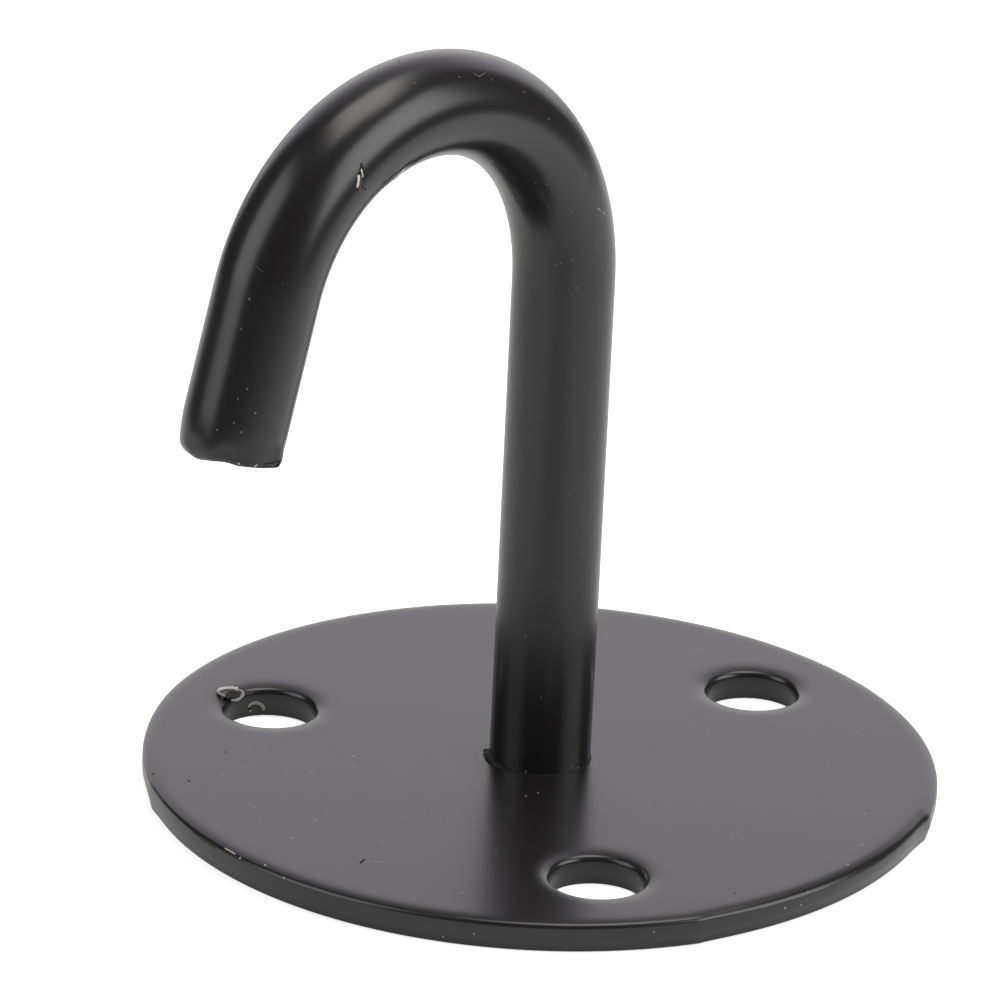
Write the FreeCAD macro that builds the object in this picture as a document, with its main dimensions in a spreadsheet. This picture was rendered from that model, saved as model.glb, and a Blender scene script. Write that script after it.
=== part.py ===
import FreeCAD, Part
import Sketcher
import math
import os

# Ceiling hook: a round bar goes through a blanked steel disc, is welded to it from
# behind, and is bent over into an open hook. Millimetres and degrees. The origin is the
# middle of the disc's mounting face, +Z runs out of the disc along the stem, and the
# hook's tip lies towards -X. Every surface includes its powder coat.

document = FreeCAD.newDocument("CeilingHook")
X = FreeCAD.Vector(1, 0, 0)
Y = FreeCAD.Vector(0, 1, 0)
Z = FreeCAD.Vector(0, 0, 1)

# Driving dimensions

rows = [
    ("plateDiameter", 80.0, "disc across its widest band"),
    ("sheetThickness", 3.0, "steel sheet of the disc"),
    ("barDiameter", 10.0, "round steel bar of the hook"),
    ("coatThickness", 0.08, "powder coat on every face"),
    ("rimDrop", 0.2, "how far the die draws the disc's front edge down"),
    ("rimReach", 2.4, "how far in from the disc's widest band that starts"),
    ("rimCorner", 0.45, "corner radius of the disc's front edge"),
    ("landDepth", 1.7, "foot of the smooth sheared band, below the front face"),
    ("breakInset", 0.5, "how far the torn band below it draws in"),
    ("backEdge", 0.25, "bevel of the disc's back edge"),
    ("screwInset", 11.05, "screw holes' centres in from the disc's widest band"),
    ("screwHole", 9.4, "screw hole across its wall"),
    ("screwCount", 3, "screw holes in the disc"),
    ("screwTurn", -7.1, "turn of the first screw hole from +X"),
    ("screwFrontRim", 0.5, "bevel that stands for a screw hole's rolled-in front rim"),
    ("screwBackRim", 0.15, "bevel of a screw hole's back rim"),
    ("boreGap", 0.1, "clearance of the bar in the disc's bore"),
    ("weldReach", 2.4, "how far the weld groove opens beyond the bore"),
    ("weldDepth", 1.7, "depth of the weld groove in the mounting face"),
    ("weldSink", 0.15, "weld's face below the mounting face"),
    ("barSink", 0.4, "bar's end below the mounting face"),
    ("stemHeight", 54.2, "mounting face to the start of the bend"),
    ("firstRadius", 22.85, "first bend, on the bar's centre line"),
    ("firstTurn", 110.7, "angle of the first bend"),
    ("secondRadius", 19.15, "second bend, on the bar's centre line"),
    ("secondTurn", 52.3, "angle of the second bend"),
    ("legLength", 15.75, "straight leg from the bend to the sheared tip"),
    ("tipShift", 0.45, "offset of the tip's roll-over from the bar's axis"),
    ("tipFacing", 49.0, "turn of the roll-over from the outside of the hook"),
    ("tipDrawLength", 3.1, "length over which the sheared tip draws in"),
    ("tipDrawIn", 0.39, "how far it draws in"),
    ("tipCorner", 0.9, "corner radius of the rolled-over side of the tip"),
    ("collarWidth", 0.3, "mean width of the weld collar's foot on the disc"),
    ("collarRise", 0.45, "height of the weld collar on the bar"),
    ("collarShift", 0.17, "offset of the collar from the bar's axis"),
    ("collarFacing", 131.0, "side to which the collar is offset, from +X"),
]

sheet = document.addObject("Spreadsheet::Sheet", "Sizes")
for line, (alias, number, note) in enumerate(rows, start=1):
    sheet.set(f"A{line}", note)
    sheet.set(f"B{line}", str(number))
    sheet.setAlias(f"B{line}", alias)
document.recompute()


class Measure:
    # A size as the text of an expression on the sheet, with its present value.

    def __init__(self, text, value):
        self.text = text
        self.value = value

    def joined(self, other, sign, value):
        text = other.text if isinstance(other, Measure) else str(other)
        return Measure(f"({self.text} {sign} {text})", value)

    def __add__(self, other):
        return self.joined(other, "+", self.value + plain(other))

    def __sub__(self, other):
        return self.joined(other, "-", self.value - plain(other))

    def __mul__(self, other):
        return self.joined(other, "*", self.value * plain(other))

    def __truediv__(self, other):
        return self.joined(other, "/", self.value / plain(other))


def plain(number):
    return number.value if isinstance(number, Measure) else float(number)


def size(alias):
    return Measure(f"Sizes.{alias}", float(getattr(sheet, alias)))


# Sizes that several pieces share

tolerance = 1e-4
plateRadius = size("plateDiameter") / 2
plateTop = size("sheetThickness") + size("coatThickness") * 2
barRadius = size("barDiameter") / 2 + size("coatThickness")
boreRadius = barRadius + size("boreGap")


# Helpers for bodies and sketches

def makeBody(label):
    body = document.addObject("PartDesign::Body", label)
    body.Label = label
    return body


def originOf(body, role):
    return [feature for feature in body.Origin.OriginFeatures if feature.Role == role][0]


def sketchOn(body, role, name):
    sketch = body.newObject("Sketcher::SketchObject", name)
    sketch.AttachmentSupport = [(originOf(body, role), "")]
    sketch.MapMode = "FlatFace"
    return sketch


def bind(sketch, name, measure, kind, *where):
    number = measure.value
    if kind == "Angle":
        number = math.radians(number)
    index = sketch.addConstraint(Sketcher.Constraint(kind, *where, number))
    sketch.renameConstraint(index, name)
    unit = " * 1 deg" if kind == "Angle" else ""
    sketch.setExpression(f"Constraints.{name}", measure.text + unit)


def addSide(sketch, start, end, radius, hollow):
    # A straight side, or an arc that bulges out of the profile, or into it if hollow.
    # Returns its number and which of its ends lies at start and at end.
    if radius is None:
        return sketch.addGeometry(Part.LineSegment(start, end)), 1, 2
    chord = end - start
    left = Z.cross(chord).normalize()
    height = math.sqrt(max(radius ** 2 - chord.Length ** 2 / 4, 0))
    centre = (start + end) / 2 + left * (-height if hollow else height)
    first, last = (end, start) if hollow else (start, end)
    angles = [math.atan2(p.y - centre.y, p.x - centre.x) for p in (first, last)]
    if angles[1] < angles[0]:
        angles[1] += 2 * math.pi
    circle = Part.Circle(centre, Z, radius)
    number = sketch.addGeometry(Part.ArcOfCircle(circle, angles[0], angles[1]))
    return (number, 2, 1) if hollow else (number, 1, 2)


def drawProfile(sketch, corners):
    # A closed profile, counter-clockwise. Each corner is a name, its two distances from
    # the origin and, where an arc leaves it, that arc's radius and if it is hollow.
    places = [FreeCAD.Vector(plain(c[1]), plain(c[2]), 0) for c in corners]
    sides = []
    for index, corner in enumerate(corners):
        radius = corner[3] if len(corner) > 3 else None
        hollow = len(corner) > 4
        end = places[(index + 1) % len(places)]
        side = addSide(sketch, places[index], end, plain(radius) if radius else None, hollow)
        sides.append(side)
        if radius:
            bind(sketch, corner[0] + "Radius", radius, "Radius", side[0])
    for index, corner in enumerate(corners):
        number, start, _ = sides[index]
        before = sides[index - 1]
        sketch.addConstraint(Sketcher.Constraint("Coincident", before[0], before[2], number, start))
        for axis, kind, distance in ((-2, "DistanceX", corner[1]), (-1, "DistanceY", corner[2])):
            if isinstance(distance, Measure):
                bind(sketch, corner[0] + kind[-1], distance, kind, -1, 1, number, start)
            else:
                place = Sketcher.Constraint("PointOnObject", number, start, axis)
                sketch.addConstraint(place)


def drawCircle(sketch, across, radius):
    # A circle on the sketch's horizontal axis, across from the origin.
    circle = Part.Circle(FreeCAD.Vector(plain(across), 0, 0), Z, radius.value)
    number = sketch.addGeometry(circle)
    bind(sketch, "radius", radius, "Radius", number)
    if isinstance(across, Measure):
        sketch.addConstraint(Sketcher.Constraint("PointOnObject", number, 3, -1))
        bind(sketch, "across", across, "DistanceX", -1, 1, number, 3)
    else:
        sketch.addConstraint(Sketcher.Constraint("Coincident", number, 3, -1, 1))


def revolve(body, sketch, name):
    turned = body.newObject("PartDesign::Revolution", name)
    turned.Profile = sketch
    turned.ReferenceAxis = (sketch, ["V_Axis"])
    turned.Angle = 360
    return turned


def cutThrough(body, sketch, name):
    pocket = body.newObject("PartDesign::Pocket", name)
    pocket.Profile = sketch
    pocket.Type = "ThroughAll"
    pocket.Reversed = True
    return pocket


def bevelRims(body, name, rimRadius, height, bevel):
    # Bevels every round edge of that radius at that height.
    document.recompute()
    base = body.Tip
    names = []
    for number, edge in enumerate(base.Shape.Edges, start=1):
        curve = edge.Curve
        if isinstance(curve, Part.Circle) and abs(curve.Radius - rimRadius) < tolerance:
            if abs(curve.Center.z - height) < tolerance:
                names.append(f"Edge{number}")
    chamfer = body.newObject("PartDesign::Chamfer", name)
    chamfer.Base = (base, names)
    chamfer.setExpression("Size", bevel.text)
    body.Tip = chamfer


# base_plate: a blanked disc. The die draws its front edge down in a slow slope that ends
# in a tight corner, a smooth sheared band follows, and the torn band below that draws in
# towards the back.

def makePlate():
    body = makeBody("base_plate")
    back = plateRadius - size("breakInset")
    edgeTop = plateTop - size("rimDrop")
    section = sketchOn(body, "XZ_Plane", "PlateSection")
    drawProfile(section, [
        ("grooveMouth", boreRadius + size("weldReach"), 0),
        ("backRim", back - size("backEdge"), 0),
        ("backSide", back, size("backEdge")),
        ("landFoot", plateRadius, plateTop - size("landDepth")),
        ("landTop", plateRadius, edgeTop - size("rimCorner"), size("rimCorner")),
        ("cornerTop", plateRadius - size("rimCorner"), edgeTop),
        ("slopeTop", plateRadius - size("rimReach"), plateTop),
        ("boreTop", boreRadius, plateTop),
        ("grooveRoot", boreRadius, size("weldDepth")),
    ])
    revolve(body, section, "PlateDisc")

    screwRadius = size("screwHole") / 2
    outline = sketchOn(body, "XY_Plane", "ScrewHoleOutline")
    drawCircle(outline, plateRadius - size("screwInset"), screwRadius)
    hole = cutThrough(body, outline, "ScrewHole")
    pattern = body.newObject("PartDesign::PolarPattern", "ScrewHoles")
    pattern.Originals = [hole]
    pattern.Axis = (outline, ["N_Axis"])
    pattern.Angle = 360
    pattern.setExpression("Occurrences", "Sizes.screwCount")
    body.Tip = pattern

    bevelRims(body, "ScrewFrontRims", screwRadius.value, plateTop.value, size("screwFrontRim"))
    bevelRims(body, "ScrewBackRims", screwRadius.value, 0, size("screwBackRim"))
    turn = FreeCAD.Rotation(Z, size("screwTurn").value)
    body.Placement = FreeCAD.Placement(FreeCAD.Vector(), turn)
    return body


# hook_rod: the bar's route lies in the XZ plane, as a stem, two bends that run into one
# another and a straight leg. Its sheared tip is rolled over on one side.

def routePlaces():
    # The points where the route's stretches meet, and its last direction.
    places = [FreeCAD.Vector(0, size("barSink").value, 0)]
    places.append(FreeCAD.Vector(0, size("stemHeight").value, 0))
    heading = 0
    centres = []
    for bend in ("first", "second"):
        radius = size(bend + "Radius").value
        inward = FreeCAD.Vector(-math.cos(heading), -math.sin(heading), 0)
        centre = places[-1] + inward * radius
        heading += math.radians(size(bend + "Turn").value)
        outward = FreeCAD.Vector(math.cos(heading), math.sin(heading), 0)
        centres.append(centre)
        places.append(centre + outward * radius)
    along = FreeCAD.Vector(-math.sin(heading), math.cos(heading), 0)
    places.append(places[-1] + along * size("legLength").value)
    return places, centres, heading, along


def makeBar():
    body = makeBody("bent_bar")
    places, centres, _, _ = routePlaces()
    route = sketchOn(body, "XZ_Plane", "BarRoute")
    stem = route.addGeometry(Part.LineSegment(places[0], places[1]))
    bends = []
    start = 0
    for bend, centre in zip(("first", "second"), centres):
        circle = Part.Circle(centre, Z, size(bend + "Radius").value)
        end = start + math.radians(size(bend + "Turn").value)
        bends.append(route.addGeometry(Part.ArcOfCircle(circle, start, end)))
        start = end
    leg = route.addGeometry(Part.LineSegment(places[3], places[4]))
    route.addConstraint(Sketcher.Constraint("PointOnObject", stem, 1, -2))
    route.addConstraint(Sketcher.Constraint("PointOnObject", stem, 2, -2))
    route.addConstraint(Sketcher.Constraint("Tangent", stem, 2, bends[0], 1))
    route.addConstraint(Sketcher.Constraint("Tangent", bends[0], 2, bends[1], 1))
    route.addConstraint(Sketcher.Constraint("Tangent", bends[1], 2, leg, 1))
    bind(route, "barEnd", size("barSink"), "DistanceY", -1, 1, stem, 1)
    bind(route, "bendStart", size("stemHeight"), "DistanceY", -1, 1, stem, 2)
    for bend, number in zip(("first", "second"), bends):
        bind(route, bend + "Radius", size(bend + "Radius"), "Radius", number)
        bind(route, bend + "Turn", size(bend + "Turn"), "Angle", number)
    bind(route, "leg", size("legLength"), "Distance", leg)

    section = sketchOn(body, "XY_Plane", "BarSection")
    section.setExpression("AttachmentOffset.Base.z", "Sizes.barSink")
    drawCircle(section, 0, barRadius)
    bar = body.newObject("PartDesign::AdditivePipe", "BarSweep")
    bar.Profile = section
    bar.Spine = (route, [])
    body.Tip = bar
    return body


def makeTipWaste():
    # What the shear's roll-over takes off: the outside of a rounded end, turned about
    # an axis beside the bar's own, so that one side of the tip is rolled over and the
    # other stays nearly sharp. The margin carries it past the bar's end and its side.
    body = makeBody("tip_waste")
    margin = size("barDiameter") / 4
    wall = barRadius + size("tipShift")
    drawn = wall - size("tipDrawIn")
    face = drawn - size("tipCorner")
    shoulder = margin + size("tipCorner")
    section = sketchOn(body, "XZ_Plane", "TipSection")
    drawProfile(section, [
        ("pastEnd", face, 0),
        ("pastSide", wall + margin, 0),
        ("sideTop", wall + margin, shoulder + size("tipDrawLength")),
        ("drawTop", wall, shoulder + size("tipDrawLength")),
        ("cornerTop", drawn, shoulder, size("tipCorner"), "hollow"),
        ("cornerFoot", face, margin),
    ])
    revolve(body, section, "TipRing")

    places, _, heading, along = routePlaces()
    tip = FreeCAD.Vector(places[4].x, 0, places[4].y)
    down = FreeCAD.Vector(along.x, 0, along.y)
    outside = FreeCAD.Vector(math.cos(heading), 0, math.sin(heading))
    facing = math.radians(size("tipFacing").value)
    rolled = outside * math.cos(facing) + Y * math.sin(facing)
    place = tip + down * margin.value - rolled * size("tipShift").value
    body.Placement = FreeCAD.Placement(place, FreeCAD.Rotation(Z, down * -1))
    return body


def makeRod():
    rod = document.addObject("Part::Cut", "HookRod")
    rod.Base = makeBar()
    rod.Tool = makeTipWaste()
    rod.Label = "hook_rod"
    return rod


# back_weld: the weld that fills the groove round the bar's end, under the mounting face.

def makeBackWeld():
    body = makeBody("back_weld")
    slope = size("weldReach") / size("weldDepth")
    mouth = boreRadius + slope * (size("weldDepth") - size("weldSink"))
    section = sketchOn(body, "XZ_Plane", "BackWeldSection")
    drawProfile(section, [
        ("faceInside", barRadius, size("weldSink")),
        ("faceOutside", mouth, size("weldSink")),
        ("root", boreRadius, size("weldDepth")),
        ("rootInside", barRadius, size("weldDepth")),
    ])
    revolve(body, section, "BackWeldRing")
    return body


# weld_collar: the thin run of weld that shows round the foot of the stem, wider on one
# side. It is a low cone about its own axis, bored out for the bar.

def makeCollar():
    body = makeBody("weld_collar")
    top = plateTop + size("collarRise")
    section = sketchOn(body, "XZ_Plane", "CollarSection")
    drawProfile(section, [
        ("foot", 0, plateTop),
        ("rim", barRadius + size("collarWidth"), plateTop),
        ("shoulder", barRadius + size("collarShift") / 2, top),
        ("crown", 0, top),
    ])
    revolve(body, section, "CollarCone")
    outline = sketchOn(body, "XY_Plane", "CollarBoreOutline")
    drawCircle(outline, size("collarShift"), barRadius)
    body.Tip = cutThrough(body, outline, "CollarBore")
    facing = FreeCAD.Rotation(Z, size("collarFacing").value)
    place = facing.multVec(X) * size("collarShift").value
    towardsBar = FreeCAD.Rotation(Z, size("collarFacing").value + 180)
    body.Placement = FreeCAD.Placement(place, towardsBar)
    return body


pieces = [makePlate(), makeRod(), makeBackWeld(), makeCollar()]
document.recompute()

# Every feature has to be sound before anything is written.

for feature in document.Objects:
    if "Invalid" in feature.State or "Error" in feature.State:
        raise RuntimeError(f"{feature.Label} failed: {feature.State}")
for piece in pieces:
    if piece.Shape.isNull() or not piece.Shape.isValid():
        raise RuntimeError(f"{piece.Label} has no sound shape")

os.makedirs("parts", exist_ok=True)
for piece in pieces:
    box = piece.Shape.optimalBoundingBox()
    print(f"{piece.Label}: {len(piece.Shape.Solids)} solid, {piece.Shape.Volume:.1f} mm3,",
          f"x {box.XMin:.2f}..{box.XMax:.2f}, y {box.YMin:.2f}..{box.YMax:.2f},",
          f"z {box.ZMin:.2f}..{box.ZMax:.2f}")
    piece.Shape.exportStep(f"parts/{piece.Label}.step")
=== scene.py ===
import bpy
import bmesh
import math
import random
from mathutils import Matrix, Vector


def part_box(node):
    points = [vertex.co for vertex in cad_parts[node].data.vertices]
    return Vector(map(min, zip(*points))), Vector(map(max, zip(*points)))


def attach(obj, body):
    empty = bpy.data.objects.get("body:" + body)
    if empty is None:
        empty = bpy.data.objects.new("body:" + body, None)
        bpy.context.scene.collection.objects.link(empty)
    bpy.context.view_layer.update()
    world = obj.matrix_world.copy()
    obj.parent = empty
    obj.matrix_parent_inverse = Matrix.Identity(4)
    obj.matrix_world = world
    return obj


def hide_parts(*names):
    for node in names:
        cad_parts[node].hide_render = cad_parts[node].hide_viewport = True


# A ceiling hook: a round bar welded through a blanked disc and bent over into an open hook,
# all in satin black powder coat. Metres; mm turns millimetres into metres.

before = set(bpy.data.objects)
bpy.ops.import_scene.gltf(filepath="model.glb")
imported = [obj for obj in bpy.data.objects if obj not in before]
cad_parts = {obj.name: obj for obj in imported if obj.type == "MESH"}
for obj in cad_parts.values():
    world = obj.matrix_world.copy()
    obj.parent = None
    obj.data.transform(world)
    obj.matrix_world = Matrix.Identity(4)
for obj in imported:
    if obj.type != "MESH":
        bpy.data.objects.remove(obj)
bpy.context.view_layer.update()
mm = 0.001
mergeGap = 0.0005 * mm  # points closer together than this become one
sameGap = 0.001 * mm  # what counts as the same height or radius when something is selected
print("frame loaded:", ", ".join(sorted(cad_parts)))


# Small tools

def deselectAll():
    bpy.ops.object.select_all(action="DESELECT")


def startRing(name, centre, radius, corners):
    # a new piece that starts as one ring of edges, left in edit mode and selected
    deselectAll()
    bpy.ops.mesh.primitive_circle_add(vertices=corners, radius=radius, location=centre)
    piece = bpy.context.object
    piece.name = name
    bpy.ops.object.mode_set(mode="EDIT")
    bpy.ops.mesh.select_mode(type="EDGE")
    bpy.ops.mesh.select_all(action="SELECT")
    return piece


def extendRing(move, scale=1.0, pivot=None):
    # pulls a new ring out of the selected one, then scales it about the pivot
    bpy.ops.mesh.extrude_edges_move(TRANSFORM_OT_translate={"value": move})
    if scale != 1.0:
        bpy.ops.transform.resize(value=(scale, scale, scale), center_override=pivot)


def axisMatrix(axis):
    # directions for an operator, whose Z is the axis
    return axis.to_track_quat("Z", "Y").to_matrix()


def turnProfile(axis, profile):
    # from the selected ring through each (radius, height) round an upright axis
    radius, height = profile[0]
    for nextRadius, nextHeight in profile[1:]:
        pivot = (axis[0], axis[1], nextHeight)
        extendRing((0, 0, nextHeight - height), nextRadius / radius, pivot)
        radius, height = nextRadius, nextHeight


def roundCorner(centre, radius, startAngle, endAngle, steps):
    # (radius, height) places along an arc in a profile, angles in degrees from outwards
    places = []
    for step in range(steps + 1):
        angle = math.radians(startAngle + (endAngle - startAngle) * step / steps)
        places.append((centre[0] + radius * math.cos(angle), centre[1] + radius * math.sin(angle)))
    return places


def selectEdges(piece, test):
    mesh = bmesh.from_edit_mesh(piece.data)
    for part in list(mesh.faces) + list(mesh.edges) + list(mesh.verts):
        part.select_set(False)
    for edge in mesh.edges:
        if test(edge, [piece.matrix_world @ corner.co for corner in edge.verts]):
            edge.select_set(True)
    bmesh.update_edit_mesh(piece.data)


def selectPoints(piece, test):
    mesh = bmesh.from_edit_mesh(piece.data)
    for part in list(mesh.faces) + list(mesh.edges) + list(mesh.verts):
        part.select_set(False)
    for corner in mesh.verts:
        if not corner.hide and test(piece.matrix_world @ corner.co):
            corner.select_set(True)
    bmesh.update_edit_mesh(piece.data)


def facingWay(facing):
    # outwards from the stem's axis, at a facing in degrees
    return Vector((math.cos(math.radians(facing)), math.sin(math.radians(facing)), 0))


def faces(place, facing, spread):
    turn = math.degrees(math.atan2(place.y, place.x)) - facing
    return abs((turn + 180) % 360 - 180) < spread


def nudge(move, size, falloff="SMOOTH"):
    # moves what is selected, and less and less what lies round it
    bpy.ops.transform.translate(value=move, use_proportional_edit=True,
                                proportional_edit_falloff=falloff, proportional_size=size)


def finishPiece(piece, node, material, smoothAngle=40):
    # merged and closed, normals outwards, place in the mesh, riding on its body
    bpy.ops.object.mode_set(mode="EDIT")
    bpy.ops.mesh.select_all(action="SELECT")
    bpy.ops.mesh.remove_doubles(threshold=mergeGap)
    bpy.ops.mesh.normals_make_consistent(inside=False)
    bpy.ops.object.mode_set(mode="OBJECT")
    bpy.ops.object.transform_apply(location=True, rotation=True, scale=True)
    bpy.ops.object.shade_smooth_by_angle(angle=math.radians(smoothAngle))
    piece.data.materials.clear()
    piece.data.materials.append(material)
    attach(piece, "root")
    if node:
        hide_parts(node)
    print(piece.name, "done,", len(piece.data.polygons), "faces")


# Camera, at the photograph's angle

view = {
    "azimuth": -48.92, "elevation": 21.896, "roll": 2.708,
    "distance": 780.54 * mm, "right": -3.859 * mm, "up": 28.496 * mm,
    "lens": 279.45, "sensor": 36.0, "clipStart": 0.01,
}


def makeCamera():
    azimuth, elevation, roll = (math.radians(view[k]) for k in ("azimuth", "elevation", "roll"))
    toCamera = Vector((math.sin(azimuth) * math.cos(elevation),
                       -math.cos(azimuth) * math.cos(elevation), math.sin(elevation)))
    level = Vector((math.cos(azimuth), math.sin(azimuth), 0))
    upright = toCamera.cross(level)
    right = math.cos(roll) * level + math.sin(roll) * upright
    up = math.cos(roll) * upright - math.sin(roll) * level
    place = toCamera * view["distance"] + right * view["right"] + up * view["up"]
    bpy.ops.object.camera_add()
    camera = bpy.context.object
    camera.matrix_world = Matrix((
        (right.x, up.x, toCamera.x, place.x), (right.y, up.y, toCamera.y, place.y),
        (right.z, up.z, toCamera.z, place.z), (0, 0, 0, 1)))
    camera.data.lens = view["lens"]
    camera.data.sensor_width = view["sensor"]
    camera.data.clip_start = view["clipStart"]
    bpy.context.scene.camera = camera
    return camera


camera = makeCamera()
imageSide = 1000
searchPixels = 6  # how far round a pixel just off the outline a place is looked for
print("camera placed")


def photoRay(across, down):
    reach = view["sensor"] / view["lens"] / imageSide
    half = imageSide / 2
    ray = Vector(((across - half) * reach, (half - down) * reach, -1)).normalized()
    return camera.matrix_world.translation, camera.matrix_world.to_3x3() @ ray


def photoPlace(piece, across, down):
    # where the photograph's pixel falls on a piece: the place and the surface's normal. Just
    # off the outline, a few pixels round about are tried and the place is on the line of sight.
    start, ray = photoRay(across, down)
    for reach in range(searchPixels):
        for turn in range(8 if reach else 1):
            aside = facingWay(45 * turn) * reach
            hit, place, normal, _ = piece.ray_cast(start, photoRay(across + aside.x,
                                                                   down + aside.y)[1])
            if hit:
                return start + ray * (place - start).dot(ray), normal
    raise RuntimeError(f"pixel {across}, {down} misses {piece.name}")


def photoLevel(across, down, height):
    # where the photograph's pixel falls on a level plane
    start, ray = photoRay(across, down)
    return start + ray * (height - start.z) / ray.z


def pictureMove(right, up, away):
    # a move in the photograph's own directions, in mm
    return camera.matrix_world.to_3x3() @ Vector((right * mm, up * mm, -away * mm))


# Materials

def linear(hexColour):
    values = [int(hexColour[i:i + 2], 16) / 255 for i in (1, 3, 5)]
    return [v / 12.92 if v <= 0.04045 else ((v + 0.055) / 1.055) ** 2.4 for v in values] + [1.0]


def addNode(tree, kind, settings=None, links=None):
    # settings: property or input name (or number) to value; links: input to output socket
    node = tree.nodes.new(kind)
    for key, value in (settings or {}).items():
        if isinstance(key, str) and hasattr(node, key):
            setattr(node, key, value)
        else:
            node.inputs[key].default_value = value
    for key, source in (links or {}).items():
        tree.links.new(source, node.inputs[key])
    return node


def newMaterial(name):
    material = bpy.data.materials.new(name)
    material.use_nodes = True
    material.node_tree.nodes.clear()
    return material, material.node_tree


coats = {
    # sizes and heights in mm: the orange peel's waves and the grain on them
    "smooth": {"colour": "#1e1c1d", "roughness": 0.27,
               "peelSize": 1.1, "peelHeight": 0.0012, "grainSize": 0.16, "grainHeight": 0.0004},
    "starved": {"colour": "#0b0a0a", "roughness": 0.8,
                "peelSize": 0.5, "peelHeight": 0.03, "grainSize": 0.12, "grainHeight": 0.02},
}


def makePowderCoat(name, look):
    # satin black polyester powder coat: a dark plastic skin that flowed out and set, with
    # a faint orange peel. It is near black from the front and mirrors softly at an angle.
    material, tree = newMaterial(name)
    place = addNode(tree, "ShaderNodeTexCoord")
    millimetres = addNode(tree, "ShaderNodeVectorMath", {"operation": "SCALE", "Scale": 1 / mm},
                          {0: place.outputs["Object"]})
    where = millimetres.outputs[0]
    peel = addNode(tree, "ShaderNodeTexNoise",
                   {"Scale": 1 / look["peelSize"], "Detail": 2.0, "Roughness": 0.5},
                   {"Vector": where})
    grain = addNode(tree, "ShaderNodeTexNoise",
                    {"Scale": 1 / look["grainSize"], "Detail": 1.0}, {"Vector": where})
    peelBump = addNode(tree, "ShaderNodeBump", {"Distance": look["peelHeight"] * mm},
                       {"Height": peel.outputs["Fac"]})
    grainBump = addNode(tree, "ShaderNodeBump", {"Distance": look["grainHeight"] * mm},
                        {"Height": grain.outputs["Fac"], "Normal": peelBump.outputs["Normal"]})
    surface = addNode(tree, "ShaderNodeBsdfPrincipled",
                      {"Base Color": linear(look["colour"]), "IOR": 1.5,
                       "Roughness": look["roughness"]},
                      {"Normal": grainBump.outputs["Normal"]})
    addNode(tree, "ShaderNodeOutputMaterial", None, {"Surface": surface.outputs[0]})
    return material


def makePlain(name, colour, roughness, metallic, unevenSize):
    # a small mark's surface, with a colour that varies a little from place to place
    material, tree = newMaterial(name)
    place = addNode(tree, "ShaderNodeTexCoord")
    blotches = addNode(tree, "ShaderNodeTexNoise", {"Scale": 1 / (unevenSize * mm), "Detail": 3.0},
                       {"Vector": place.outputs["Object"]})
    darker = [value * 0.45 for value in linear(colour)[:3]] + [1.0]
    shade = addNode(tree, "ShaderNodeMix", {"data_type": "RGBA", 6: darker, 7: linear(colour)},
                    {0: blotches.outputs["Fac"]})
    surface = addNode(tree, "ShaderNodeBsdfPrincipled",
                      {"Roughness": roughness, "Metallic": metallic},
                      {"Base Color": shade.outputs[2]})
    addNode(tree, "ShaderNodeOutputMaterial", None, {"Surface": surface.outputs[0]})
    return material


coat = makePowderCoat("satin_black_powder_coat", coats["smooth"])
# the same coat where it is thin and rough, round the weld at the bar's foot
starvedCoat = makePowderCoat("starved_black_powder_coat", coats["starved"])
# lint and grit that the coat set round, rubbed pale on top
paleDust = makePlain("pale_dust", "#b4afaa", 0.55, 0.0, 0.3)
# the same grit where the coat flowed over it, in a grey that is also a painted highlight:
# specks of light round the bar's foot
gritAndHighlight = makePlain("coated_grit_and_painted_highlight", "#7d7874", 0.5, 0.0, 0.3)
# bare steel in a fresh chip, bright but not polished; the same material is a painted highlight
# on the curled flake's thick rim
steelAndFlakeHighlight = makePlain("chipped_steel_and_flake_highlight", "#e2dfda", 0.42, 0.45, 0.25)
# bare steel that has dulled, on the thin and older edges; the same material is a painted
# highlight on the curled flake's thinner rims
dullSteelAndFlakeHighlight = makePlain("dulled_steel_and_flake_highlight", "#b7b1a9", 0.5, 0.3, 0.25)
# old chips: thin brown rust on the steel
brownRust = makePlain("brown_rust", "#5b4a3e", 0.8, 0.0, 0.3)
# pits and cracks: the coat's broken edge, matt, and darker than the coat: partly real broken
# coat, partly painted shade in these recesses
brokenCoatAndShade = makePlain("broken_coat_and_painted_shade", "#0d0c0c", 0.9, 0.0, 0.3)
# the inside of a lifted flake, stained by the steel
flakeInside = makePlain("stained_flake_inside", "#352f2b", 0.9, 0.0, 0.5)
print("materials made")


# Base plate: a disc blanked and pierced from the front. The punch drew its front edges
# down in a slow roll-over that ends in a tight corner, and the lower part of each cut is torn.

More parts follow.
